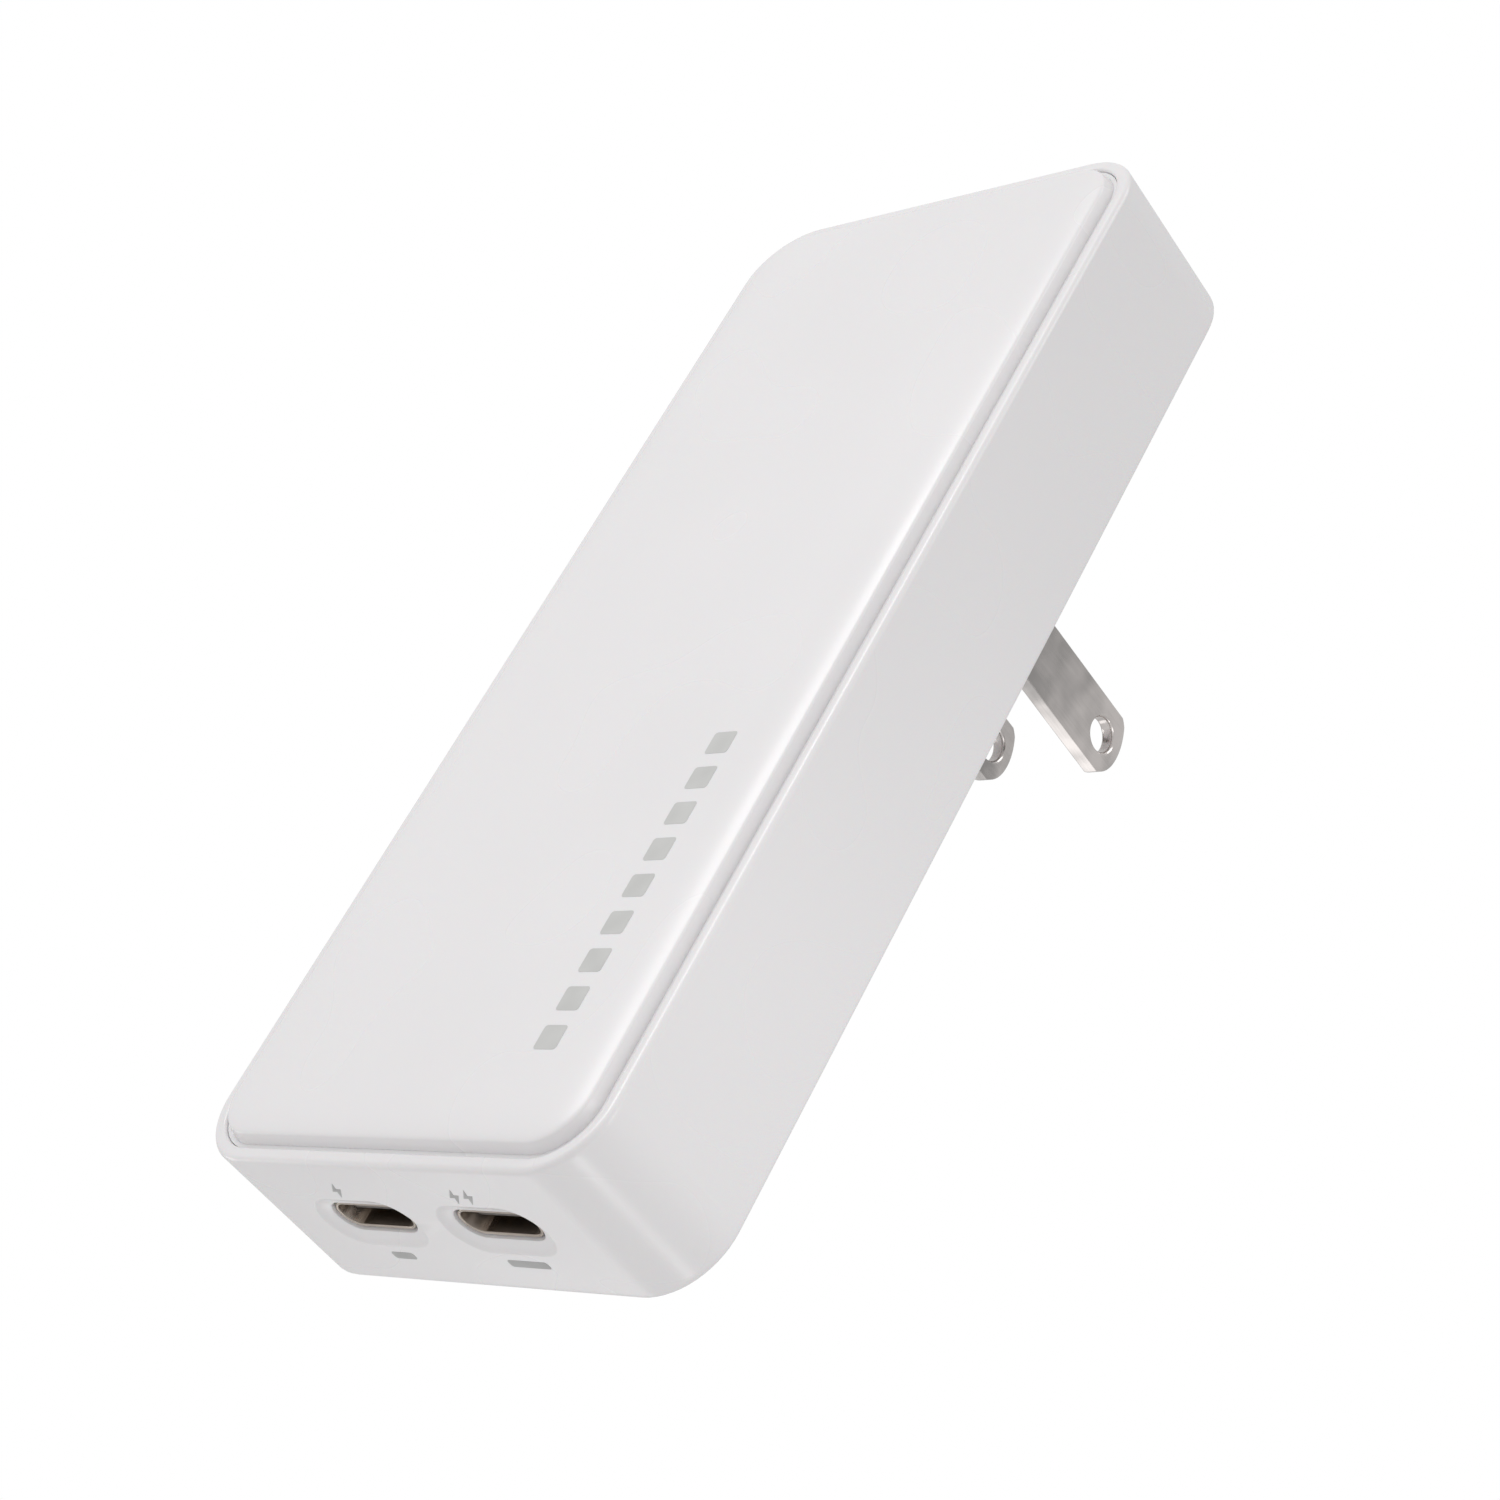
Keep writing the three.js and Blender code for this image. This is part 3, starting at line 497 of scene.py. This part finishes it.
def blade_at(name, x):
    """A blade whose middle plane is at x, with its hole cut and its nose pressed."""
    layers = [(BLADE_EDGE_R + HOLD, 0.0)] + quarter(BLADE_EDGE_R, 4)
    rings = [[(x - BLADE_T / 2 + d, y, z) for y, z in blade_outline(i)] for i, d in layers]
    rings += [[(x + BLADE_T / 2 - d, y, z) for y, z in blade_outline(i)] for i, d in reversed(layers)]
    blade = piece(name, loft(rings))
    face = BLADE_T / 2
    hole_y = blade_tip - HOLE_FROM_TIP
    side = [(-face - 1 * MM, HOLE_ROLL)]
    side += [(-face + HOLE_ROLL * (1 - math.cos(a)), HOLE_ROLL * (1 - math.sin(a)))
             for a in (math.radians(18 * i) for i in range(6))]
    side += [(-across, grow) for across, grow in reversed(side)]
    cut_away(blade, [piece("hole", loft([
        [(x + across, hole_y + (HOLE_R + grow) * math.cos(t), (HOLE_R + grow) * math.sin(t))
         for t in (2 * math.pi * k / 64 for k in range(64))] for across, grow in side]))])
    bm = bmesh.new()
    bm.from_mesh(blade.data)
    crease = blade_tip - COIN_LONG
    for y in (crease, crease + 0.1 * MM):
        bmesh.ops.bisect_plane(bm, geom=bm.verts[:] + bm.edges[:] + bm.faces[:],
                               plane_co=(0, y, 0), plane_no=(0, 1, 0))
    for v in bm.verts:
        pressed = max(0.0, v.co.y - crease) / COIN_LONG * COIN_DEEP
        v.co.x = x + (v.co.x - x) * (1 - pressed / face)
    bm.to_mesh(blade.data)
    bm.free()
    smooth(blade, 26)
    return blade


def linished(name, low_hex, high_hex, rough, along, line_mm=0.12, cloud_mm=5, **surface):
    """A metal face with drag lines running along an axis, under a slow bloom."""
    material, tree, shader, place = bare_material(name, Metallic=1.0, Anisotropic=0.35, **surface)
    squash = [1.0, 1.0, 1.0]
    squash[along] = 0.025
    drawn_out = add(tree, "ShaderNodeMapping", {"Vector": place, "Scale": squash})
    drag = add(tree, "ShaderNodeTexNoise", {"Vector": drawn_out.outputs[0], "Scale": 1 / (line_mm * MM),
                                            "Detail": 3.0, "Roughness": 0.6})
    bloom = add(tree, "ShaderNodeTexNoise", {"Vector": place, "Scale": 1 / (cloud_mm * MM), "Detail": 2.0})
    both = add(tree, "ShaderNodeMix", {0: 0.14, 2: bloom.outputs["Fac"], 3: drag.outputs["Fac"]})
    share = add(tree, "ShaderNodeMapRange", {"Value": both.outputs[0], "From Min": 0.35, "From Max": 0.65})
    colour = add(tree, "ShaderNodeMix", {0: share.outputs[0], 6: linear(low_hex), 7: linear(high_hex)},
                 data_type="RGBA")
    gloss = add(tree, "ShaderNodeMapRange", {"Value": share.outputs[0], "To Min": rough + 0.08,
                                             "To Max": rough - 0.04})
    bump = add(tree, "ShaderNodeBump", {"Height": drag.outputs["Fac"], "Distance": 0.002 * MM,
                                        "Strength": 0.25})
    tree.links.new(colour.outputs[2], shader.inputs["Base Color"])
    tree.links.new(gloss.outputs[0], shader.inputs["Roughness"])
    tree.links.new(bump.outputs[0], shader.inputs["Normal"])
    return material


# Nickel over linished brass: a warm grey mirror blurred along the blade, clouded by handling.
# The lines of a 180 grit belt are about 0.08 mm apart, drawn at 0.12 mm.
nickel = linished("nickel plated brass, linished", "#A4A19F", "#DDD7D4", 0.22, 1)
for side, x in blade_x.items():
    blade = blade_at(f"blade_{side}_plated", x)
    blade.data.materials.clear()
    blade.data.materials.append(nickel)
    settle(blade, "blades", "blade_plating", f"blade_{side}")

# ---------------------------------------------------------------------------------------------
# Ports. Each is a drawn steel shell, nickel plated, with rolled lips and a moulded black tongue
# inside that carries twelve gold plated contacts on each face.
# ---------------------------------------------------------------------------------------------
PORT_SHELL_T = 0.3 * MM
PORT_LIP = 0.1 * MM
TONGUE_WIDE = 6.7 * MM
TONGUE_T = 0.7 * MM
PLUG_LONG = 2.7 * MM
CONTACTS = 12
CONTACT_PITCH = 0.5 * MM
CONTACT_SIZE = Vector((0.27, 0.05, 3.6)) * MM

# Drawn and plated steel: browner and duller than the blades, with the draw lines running inwards.
port_metal = linished("nickel plated steel, drawn", "#A0968C", "#BDB3A9", 0.3, 2)
# Liquid crystal polymer: warm dark grey, half dull, with short pale flow streaks.
tongue_plastic = moulded("liquid crystal polymer, grey", "#45403D", "#59534F", 0.4, 0.6, 0.15, 0.01, IOR=1.6)
# Gold flash over nickel: warm yellow, bright, a little uneven where plugs have rubbed it.
gold_flash = linished("gold plated contact", "#C39B52", "#E2C07C", 0.22, 2, 0.1, 1)

contact_rows = bpy.data.node_groups.new("contact_rows", "GeometryNodeTree")
for name, kind in (("Count", "Int"), ("Pitch", "Float"), ("Strip", "Vector"), ("First", "Vector"),
                   ("Face Step", "Float"), ("Finish", "Material")):
    contact_rows.interface.new_socket(name, in_out="INPUT", socket_type="NodeSocket" + kind)
contact_rows.interface.new_socket("Geometry", in_out="OUTPUT", socket_type="NodeSocketGeometry")
given = add(contact_rows, "NodeGroupInput", {}).outputs
step = add(contact_rows, "ShaderNodeCombineXYZ", {"X": given["Pitch"]})
row = add(contact_rows, "GeometryNodeMeshLine", {
    "Count": given["Count"], "Start Location": given["First"], "Offset": step.outputs[0]})
across = add(contact_rows, "ShaderNodeCombineXYZ", {"Y": given["Face Step"]})
other_row = add(contact_rows, "GeometryNodeTransform", {"Geometry": row.outputs[0],
                                                        "Translation": across.outputs[0]})
rows = add(contact_rows, "GeometryNodeJoinGeometry", {0: row.outputs[0]})
contact_rows.links.new(other_row.outputs[0], rows.inputs[0])
strip = add(contact_rows, "GeometryNodeMeshCube", {"Size": given["Strip"]})
placed = add(contact_rows, "GeometryNodeInstanceOnPoints", {"Points": rows.outputs[0],
                                                           "Instance": strip.outputs[0]})
real = add(contact_rows, "GeometryNodeRealizeInstances", {0: placed.outputs[0]})
finished = add(contact_rows, "GeometryNodeSetMaterial", {"Geometry": real.outputs[0],
                                                        "Material": given["Finish"]})
add(contact_rows, "NodeGroupOutput", {0: finished.outputs[0]})


def grown(name, tree, values):
    """A plain mesh object from a Geometry Nodes tree and values for its named inputs."""
    obj = bpy.data.objects.new(name, bpy.data.meshes.new(name))
    scene.collection.objects.link(obj)
    modifier = obj.modifiers.new("grow", "NODES")
    modifier.node_group = tree
    sockets = {s.name: s.identifier for s in tree.interface.items_tree if s.in_out == "INPUT"}
    for key, value in values.items():
        modifier[sockets[key]] = value
    evaluated_mesh(obj)
    for index in reversed([i for i, m in enumerate(obj.data.materials) if m is None]):
        obj.data.materials.pop(index=index)
    return obj


for side, (low, high) in port_boxes.items():
    centre = ((low.x + high.x) / 2, (low.y + high.y) / 2)
    lip = [(0, high.z), (0, low.z + PORT_LIP), (PORT_LIP * 0.3, low.z + PORT_LIP * 0.3), (PORT_LIP, low.z),
           (PORT_SHELL_T - PORT_LIP, low.z), (PORT_SHELL_T - PORT_LIP * 0.3, low.z + PORT_LIP * 0.3),
           (PORT_SHELL_T, low.z + PORT_LIP), (PORT_SHELL_T, high.z)]
    bm = bmesh.new()
    rings = [[bm.verts.new((x, y, z))
              for x, y in racetrack(centre, high.x - low.x - 2 * s, high.y - low.y - 2 * s)] for s, z in lip]
    for a, b in zip(rings, rings[1:] + rings[:1]):
        for i in range(len(a)):
            j = (i + 1) % len(a)
            bm.faces.new((a[i], a[j], b[j], b[i]))
    bmesh.ops.recalc_face_normals(bm, faces=bm.faces)
    sleeve = piece(f"port_shell_{side}", bm, port_metal)
    smooth(sleeve, 50)
    settle(sleeve, "case", "port_steel", f"usb_c_shell_{side}")

    low, high = (Vector(c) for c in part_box(f"usb_c_tongue_{side}"))
    tongue_ends = ((0.12 * MM, low.z), (0, low.z + 0.14 * MM), (0, high.z - PLUG_LONG / 2))
    plug_ends = ((0.1 * MM, high.z - PLUG_LONG), (0, high.z - PLUG_LONG + 0.1 * MM), (0, high.z))
    bm = loft([[(x, y, z)
                for x, y in rounded_ring(centre, TONGUE_WIDE - 2 * s, TONGUE_T - 2 * s, 0.15 * MM, 4)]
               for s, z in tongue_ends])
    plug = loft([[(x, y, z) for x, y in racetrack(centre, high.x - low.x - 2 * s, high.y - low.y - 2 * s)]
                 for s, z in plug_ends])
    plug_mesh = bpy.data.meshes.new("plug")
    plug.to_mesh(plug_mesh)
    plug.free()
    bm.from_mesh(plug_mesh)
    bpy.data.meshes.remove(plug_mesh)
    tongue = piece(f"port_tongue_{side}", bm, tongue_plastic)
    smooth(tongue, 40)
    settle(tongue, "case", "port_moulding", f"usb_c_tongue_{side}")

    face_gap = TONGUE_T / 2 + CONTACT_SIZE.y / 4  # a quarter of each strip's thickness stands proud
    strips = grown(f"port_contacts_{side}", contact_rows, {
        "Count": CONTACTS, "Pitch": CONTACT_PITCH, "Strip": CONTACT_SIZE, "Finish": gold_flash,
        "First": (centre[0] - CONTACT_PITCH * (CONTACTS - 1) / 2, centre[1] - face_gap,
                  low.z + 0.35 * MM + CONTACT_SIZE.z / 2), "Face Step": 2 * face_gap})
    settle(strips, "case", "port_moulding")

# ---------------------------------------------------------------------------------------------
# Blade carrier and retainer. Glass-filled nylon mouldings, matt black: the round carrier shows as
# a dark bar at the foot of each blade, and the retainer behind it is screwed to the shell.
# ---------------------------------------------------------------------------------------------


def dress(material, *nodes):
    """Gives CAD nodes a material."""
    for node in nodes:
        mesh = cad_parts[node].data
        mesh.materials.clear()
        mesh.materials.append(material)


# Glass-filled nylon: charcoal rather than black, dry, with 0.4 mm fibre streaks breaking the skin.
nylon = moulded("glass filled nylon, black", "#19191B", "#29292C", 0.52, 0.9, 0.4, 0.012, IOR=1.53)
dress(nylon, "blade_carrier", "carrier_retainer")

# ---------------------------------------------------------------------------------------------
# Screws and springs. Cold-headed zinc plated screws hold the retainer and the board; the detent
# leaf is spring steel and the contact strips that meet the blade tails are phosphor bronze.
# ---------------------------------------------------------------------------------------------
# Zinc plate: cool pale grey with a faint blue-yellow bloom.
zinc = linished("zinc plated steel", "#8D9196", "#B4B6B4", 0.3, 1, 0.1, 1.5)
# Rolled spring steel: darker, with straight rolling lines across the leaf.
spring_steel = linished("spring steel, cold rolled", "#84868A", "#A5A6A8", 0.25, 0)
# Phosphor bronze: reddish gold, dulled by a thin tarnish.
bronze = linished("phosphor bronze, rolled", "#A9703C", "#C98F57", 0.3, 0)
dress(zinc, "retainer_screw_1", "retainer_screw_2", "retainer_screw_3", "retainer_screw_4",
      "board_screw_1", "board_screw_2")
dress(spring_steel, "detent_spring")
dress(bronze, "contact_spring_left", "contact_spring_right")

# ---------------------------------------------------------------------------------------------
# Main board. Glass-epoxy laminate, 1.2 mm, under green solder mask: the copper tracks beneath the
# mask show as paler squared-off lanes about a millimetre wide.
# ---------------------------------------------------------------------------------------------
# Solder mask: glossy deep green, lighter over copper, standing proud by the copper's 0.035 mm.
TRACK_LANE = 2.6 * MM
solder_mask, tree, shader, place = bare_material("solder mask over copper", IOR=1.5)
lanes = add(tree, "ShaderNodeTexVoronoi", {"Vector": place, "Scale": 1 / TRACK_LANE, "Randomness": 0.85},
            distance="CHEBYCHEV")
copper = add(tree, "ShaderNodeMapRange", {"Value": lanes.outputs["Distance"], "From Min": 0.42,
                                          "From Max": 0.46})
mask_colour = add(tree, "ShaderNodeMix", {0: copper.outputs[0], 6: linear("#2C6B40"), 7: linear("#1C4A2C")},
                  data_type="RGBA")
mask_skin = add(tree, "ShaderNodeTexNoise", {"Vector": place, "Scale": 1 / (0.8 * MM), "Detail": 3.0})
mask_gloss = add(tree, "ShaderNodeMapRange", {"Value": mask_skin.outputs["Fac"], "To Min": 0.2,
                                              "To Max": 0.34})
mask_bump = add(tree, "ShaderNodeBump", {"Height": copper.outputs[0], "Distance": 0.035 * MM,
                                         "Strength": 0.7})
mask_bump.invert = True
tree.links.new(mask_colour.outputs[2], shader.inputs["Base Color"])
tree.links.new(mask_gloss.outputs[0], shader.inputs["Roughness"])
tree.links.new(mask_bump.outputs[0], shader.inputs["Normal"])
dress(solder_mask, "main_board")

# ---------------------------------------------------------------------------------------------
# Mains side. Three wet electrolytic cans in shrink sleeve, a boxed film capacitor, a moulded
# fuse, the bridge and a dipped disc capacitor, all soldered to the board.
# ---------------------------------------------------------------------------------------------
# Shrink sleeve: glossy black film with a soft orange peel.
dress(moulded("PVC shrink sleeve, black", "#26272B", "#33343A", 0.24, 4, 0.6, 0.02, IOR=1.54),
      "bulk_capacitor_1", "bulk_capacitor_2", "bulk_capacitor_3")
# Potted box: dull cream polyester with fine pits.
dress(moulded("filled polyester box, cream", "#C2BFA8", "#CDC9B5", 0.48, 3, 0.3, 0.015, IOR=1.5),
      "x_capacitor")
# Fuse body: brown phenolic, half gloss, clouded.
dress(moulded("phenolic moulding, brown", "#7A3226", "#8F3F30", 0.36, 2, 0.3, 0.01, IOR=1.55), "fuse")
# Chip epoxy: flat charcoal with a fine sparked face.
chip_epoxy = moulded("epoxy chip moulding", "#1D1D1F", "#262628", 0.5, 1.5, 0.12, 0.008, IOR=1.55)
dress(chip_epoxy, "bridge_rectifier", "power_switch_chip", "rectifier_chip", "control_chip")
# Dipped coating: bright blue, glossy and lumpy where it sagged.
dress(moulded("epoxy dip, blue", "#2A63A0", "#3774B5", 0.22, 2.5, 1.2, 0.06, IOR=1.55), "y_capacitor")

# ---------------------------------------------------------------------------------------------
# Common-mode choke. A green-coated ferrite ring wound with enamelled copper in two halves, each
# about twenty turns side by side.
# ---------------------------------------------------------------------------------------------
# Parylene coat over ferrite: soft sage green, half matt.
dress(moulded("coated ferrite, green", "#4A6650", "#57755C", 0.5, 1.5, 0.25, 0.015, IOR=1.6), "choke_core")

TURNS_ROUND = 46
core_low, core_high = (Vector(c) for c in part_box("choke_core"))
core_middle = (core_low + core_high) / 2
# Enamelled copper: glossy orange-brown ridges, one per turn, fanning out from the ring's middle,
# with painted shade making the hollows between the turns dark brown.
enamel, tree, shader, place = bare_material("enamelled copper, wound, painted shade between turns", Metallic=1.0, Coat_Weight=0.6,
                                            Coat_Roughness=0.12)
centred = add(tree, "ShaderNodeVectorMath", {0: place, 1: tuple(core_middle)}, operation="SUBTRACT")
split = add(tree, "ShaderNodeSeparateXYZ", {0: centred.outputs[0]})
bearing = add(tree, "ShaderNodeMath", {0: split.outputs["X"], 1: split.outputs["Z"]}, operation="ARCTAN2")
turn = add(tree, "ShaderNodeMath", {0: bearing.outputs[0], 1: float(TURNS_ROUND)}, operation="MULTIPLY")
ridge = add(tree, "ShaderNodeMath", {0: turn.outputs[0]}, operation="COSINE")
height = add(tree, "ShaderNodeMapRange", {"Value": ridge.outputs[0], "From Min": -1.0, "From Max": 1.0})
# painted shade: the wire's colour goes dark brown where the ridge height is low, between turns
wire_colour_shaded_between_turns = add(tree, "ShaderNodeMix", {0: height.outputs[0], 6: linear("#6B2F14"), 7: linear("#C7743A")},
                  data_type="RGBA")
uneven = add(tree, "ShaderNodeTexNoise", {"Vector": place, "Scale": 1 / (0.7 * MM)})
wire_gloss = add(tree, "ShaderNodeMapRange", {"Value": uneven.outputs["Fac"], "To Min": 0.22, "To Max": 0.38})
wire_bump = add(tree, "ShaderNodeBump", {"Height": height.outputs[0], "Distance": 0.25 * MM})
tree.links.new(wire_colour_shaded_between_turns.outputs[2], shader.inputs["Base Color"])
tree.links.new(wire_gloss.outputs[0], shader.inputs["Roughness"])
tree.links.new(wire_bump.outputs[0], shader.inputs["Normal"])
dress(enamel, "choke_coil_left", "choke_coil_right")

# ---------------------------------------------------------------------------------------------
# Transformer and converter. Two sintered ferrite halves clamp a winding wrapped in yellow
# polyester tape; the optocoupler between the two sides is moulded white.
# ---------------------------------------------------------------------------------------------
# Sintered ferrite: dark slate, stony, with ground faces and small pits.
dress(moulded("sintered ferrite", "#323236", "#434348", 0.58, 2, 0.2, 0.02, IOR=1.8),
      "transformer_core_lower", "transformer_core_upper")
# Polyester tape: translucent golden yellow, glossy, wrinkled over the turns.
dress(moulded("polyester tape, yellow", "#CBA02C", "#DDB842", 0.24, 4, 1.6, 0.08, IOR=1.6,
              Subsurface_Weight=0.15, Subsurface_Scale=0.001), "transformer_winding")
dress(moulded("epoxy chip moulding, white", "#DAD8D0", "#E6E4DC", 0.44, 1.5, 0.15, 0.008, IOR=1.55),
      "optocoupler")

# ---------------------------------------------------------------------------------------------
# Output side. Two pressed-iron chokes and three polymer capacitors in bare drawn cans stand
# between the chips and the ports.
# ---------------------------------------------------------------------------------------------
# Pressed iron powder: grey and granular, with 0.15 mm grains.
dress(moulded("pressed iron powder", "#4A4B50", "#5E6065", 0.6, 1, 0.15, 0.03, IOR=1.8),
      "output_inductor_1", "output_inductor_2")
# Drawn aluminium: bright, with faint lines up the can.
dress(linished("drawn aluminium can", "#BDBEC2", "#D6D7DA", 0.22, 1, 0.15, 2),
      "output_capacitor_1", "output_capacitor_2", "output_capacitor_3")

# ---------------------------------------------------------------------------------------------
# Heat stack. A soft silicone pad on the board, an aluminium plate on it and a stiff insulating
# sheet over that, lying behind the front cover.
# ---------------------------------------------------------------------------------------------
# Gap-filler silicone: chalky blue-grey, with small dimples.
dress(moulded("filled silicone pad", "#8496AA", "#93A5B8", 0.7, 6, 0.7, 0.05, IOR=1.41), "thermal_pad")
# Mill-finish aluminium: pale, with rolling lines along the plate.
dress(linished("aluminium plate, mill finish", "#B4B6B8", "#CBCDCF", 0.34, 2, 0.2, 8), "heat_spreader")
# Insulating paper: dry straw colour with short fibres.
dress(moulded("aramid insulating paper", "#D2CBAA", "#E0DABC", 0.62, 5, 0.35, 0.03, IOR=1.5),
      "insulating_sheet")

# ---------------------------------------------------------------------------------------------
# Studio. A plain pale floor well below the case, a plain white room, and large soft lights round
# the case for its cover, its rounded corner and the plated edges.
# ---------------------------------------------------------------------------------------------
FLOOR_DROP = 0.45
FLOOR_HALF = 4.0
bm = bmesh.new()
bm.faces.new([bm.verts.new((x * FLOOR_HALF, y * FLOOR_HALF, case_low.z - FLOOR_DROP))
              for x, y in ((-1, -1), (1, -1), (1, 1), (-1, 1))])
piece("floor", bm, moulded("painted floor, pale", "#EFEFEF", "#F4F4F4", 0.8, 300, 3, 0.02))

ROOM_LIGHT = 0.64
room = bpy.data.worlds.new("room")
scene.world = room
room.use_nodes = True
room.node_tree.nodes.clear()
seen = add(room.node_tree, "ShaderNodeLightPath", {}).outputs["Is Camera Ray"]
level = add(room.node_tree, "ShaderNodeMapRange", {"Value": seen, "To Min": ROOM_LIGHT, "To Max": 1.0})
walls = add(room.node_tree, "ShaderNodeBackground", {"Color": (1, 1, 1, 1), "Strength": level.outputs[0]})
add(room.node_tree, "ShaderNodeOutputWorld", {"Surface": walls.outputs[0]})
scene.view_settings.view_transform = "Standard"


def soft_light(name, toward, distance, size, brightness):
    """A round soft light seen from the case in this direction, this bright to the eye."""
    lamp = bpy.data.lights.new(name, "AREA")
    lamp.shape = "DISK"
    lamp.size = size
    lamp.energy = brightness * math.pi * math.pi * size * size / 4
    obj = bpy.data.objects.new(name, lamp)
    obj.visible_camera = False
    scene.collection.objects.link(obj)
    direction = Vector(toward).normalized()
    obj.matrix_world = (Matrix.Translation(case_middle + direction * distance)
                        @ (-direction).to_track_quat("-Z", "Y").to_matrix().to_4x4())


soft_light("front light", (-0.33, -0.82, 0.42), 0.9, 0.55, 3.6)
soft_light("right light", (0.60, -0.20, 0.78), 0.9, 0.5, 2.5)
soft_light("low side light", (0.86, -0.02, -0.51), 0.085, 0.03, 1.9)
soft_light("corner light", (0.385, 0.525, -0.76), 0.5, 0.09, 4.5)
soft_light("blade edge light", (-0.60, 0.59, -0.54), 0.7, 0.25, 0.75)
soft_light("port end light", (-0.85, -0.14, -0.50), 0.35, 0.09, 3.4)
